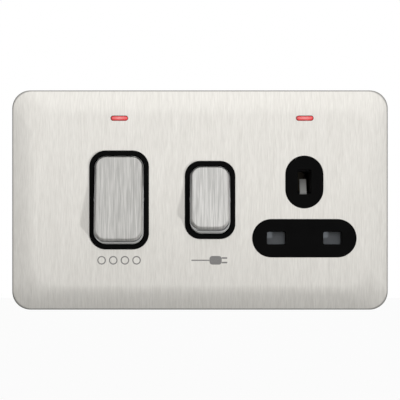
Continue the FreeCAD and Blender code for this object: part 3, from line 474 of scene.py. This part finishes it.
def ink_pad(name, width, height, corner, x, z):
    outline = (width, height, corner)
    return drawn(name, [(*outline, PLATE_FACE + 0.00001), (*outline, PLATE_FACE - INK)], x, z, arc=6)


def print_mark(name, pads):
    """Join the pads into one printed mark."""
    rest()
    for pad in pads:
        pad.select_set(True)
    bpy.context.view_layer.objects.active = pads[0]
    bpy.ops.object.join()
    mark = bpy.context.object
    mark.name = name
    ink.onto(mark)
    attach(mark, "unit")


hob = []
hob_size = 0.0034
hob_hole = (hob_size - 2 * INK_LINE, hob_size - 2 * INK_LINE, hob_size / 2 - INK_LINE)
for i in range(4):
    x = COOKER.x + (i - 1.5) * 0.0046
    outer = ink_pad("hob_ring", hob_size, hob_size, hob_size / 2, x, MARK_Z)
    punch(outer, drawn("hob_ring_hole", [(*hob_hole, -0.002), (*hob_hole, -0.008)], x, MARK_Z))
    hob.append(outer)
print_mark("hob_mark", hob)
plug = [ink_pad("plug_body", 0.0048, 0.0034, 0.0011, SWITCH.x + 0.0022, MARK_Z),
        ink_pad("plug_cable", 0.0072, INK_LINE, 0.0002, SWITCH.x - 0.0038, MARK_Z)]
for side in (-1, 1):
    plug.append(ink_pad("plug_pin", 0.0022, 0.0006, 0.0002, SWITCH.x + 0.0057, MARK_Z + side * 0.0009))
print_mark("plug_mark", plug)


# Studio. A pale floor under the unit and white all round, with one small lamp to the right and below,
# whose light passes the floor, as in a product photograph taken straight on.
FLOOR_Z = -0.085
rest()
bpy.ops.mesh.primitive_plane_add(size=1.0, location=(0, 0, FLOOR_Z))
floor = bpy.context.object
floor.name = "studio_floor"
floor_paint = Finish("pale_floor", Roughness=0.8)
dapple = floor_paint.noise((3, 3, 3), 2.0)
floor_paint.feed("Base Color", floor_paint.tint(dapple, (0.13, 0.13, 0.127), (0.16, 0.16, 0.156)))
glow = floor_paint.node("ShaderNodeEmission", values={"Color": (1, 1, 1, 1), "Strength": 1.0})
path = floor_paint.node("ShaderNodeLightPath", out="Is Camera Ray")
glossy = Signal(path.tree, path.socket.node.outputs["Is Glossy Ray"])
clear = Signal(path.tree, path.socket.node.outputs["Is Transmission Ray"])
seen = path * 0.96 + (glossy + clear) * 0.04
paint = Signal(path.tree, floor_paint.shader.outputs[0])
mixed = floor_paint.node("ShaderNodeMixShader", values={0: seen, 1: paint, 2: glow})
floor_paint.tree.links.new(mixed.socket, floor_paint.tree.nodes["Material Output"].inputs["Surface"])
floor_paint.onto(floor)
floor.visible_shadow = False

world = bpy.data.worlds.new("studio")
bpy.context.scene.world = world
world.use_nodes = True
tree = world.node_tree
tree.nodes.clear()
direction = tree.nodes.new("ShaderNodeTexCoord")
split = tree.nodes.new("ShaderNodeSeparateXYZ")
tree.links.new(direction.outputs["Generated"], split.inputs[0])
side = Signal(tree, split.outputs["X"])
away = Signal(tree, split.outputs["Y"])
up = Signal(tree, split.outputs["Z"])
wide = (side + 0.08).maths("ABSOLUTE", side + 0.08) - 0.18
flag = (side + 0.42) * 9.0
flag = flag.maths("EXPONENT", flag * flag * -1.0)
above = up.maths("MAXIMUM", up, 0.0)
below = up.maths("MAXIMUM", up * -1.0 - 0.12, 0.0)
level = 1.09 + up.maths("TANH", above * 5.0) * 0.25 - up.maths("TANH", below * 5.0) * 0.4
level = level - wide.maths("MAXIMUM", wide, 0.0) * 0.8 - flag * 0.4
behind = away.maths("MAXIMUM", away, 0.0)
level = level - behind * (1 - behind) * 3.2
level = level.maths("MAXIMUM", level, 0.05)
rays = tree.nodes.new("ShaderNodeLightPath")
camera_ray = Signal(tree, rays.outputs["Is Camera Ray"])
strength = camera_ray + (1 - camera_ray) * level
background = tree.nodes.new("ShaderNodeBackground")
background.inputs["Color"].default_value = (1, 1, 1, 1)
tree.links.new(strength.socket, background.inputs["Strength"])
surround = tree.nodes.new("ShaderNodeOutputWorld")
tree.links.new(background.outputs[0], surround.inputs["Surface"])


def soft_lamp(name, place, size, power):
    lamp = bpy.data.objects.new(name, bpy.data.lights.new(name, "AREA"))
    lamp.data.shape = "RECTANGLE"
    lamp.data.size, lamp.data.size_y = size
    lamp.data.energy = power
    lamp.location = place
    lamp.rotation_euler = (-Vector(place)).to_track_quat("-Z", "Y").to_euler()
    lamp.visible_glossy = False
    bpy.context.collection.objects.link(lamp)


soft_lamp("key", (1.46, -1.15, -0.74), (0.14, 0.14), 33.0)

CAMERA_DISTANCE = 0.42
FRAME_WIDTH = 0.1579
camera = bpy.data.objects.new("camera", bpy.data.cameras.new("camera"))
camera.location = (0, PLATE_FACE - CAMERA_DISTANCE, 0)
camera.rotation_euler = (math.pi / 2, 0, 0)
camera.data.sensor_width = 36
camera.data.lens = 36 * CAMERA_DISTANCE / FRAME_WIDTH
camera.data.clip_start = 0.01
bpy.context.collection.objects.link(camera)
bpy.context.scene.camera = camera
bpy.context.scene.view_settings.view_transform = "Standard"
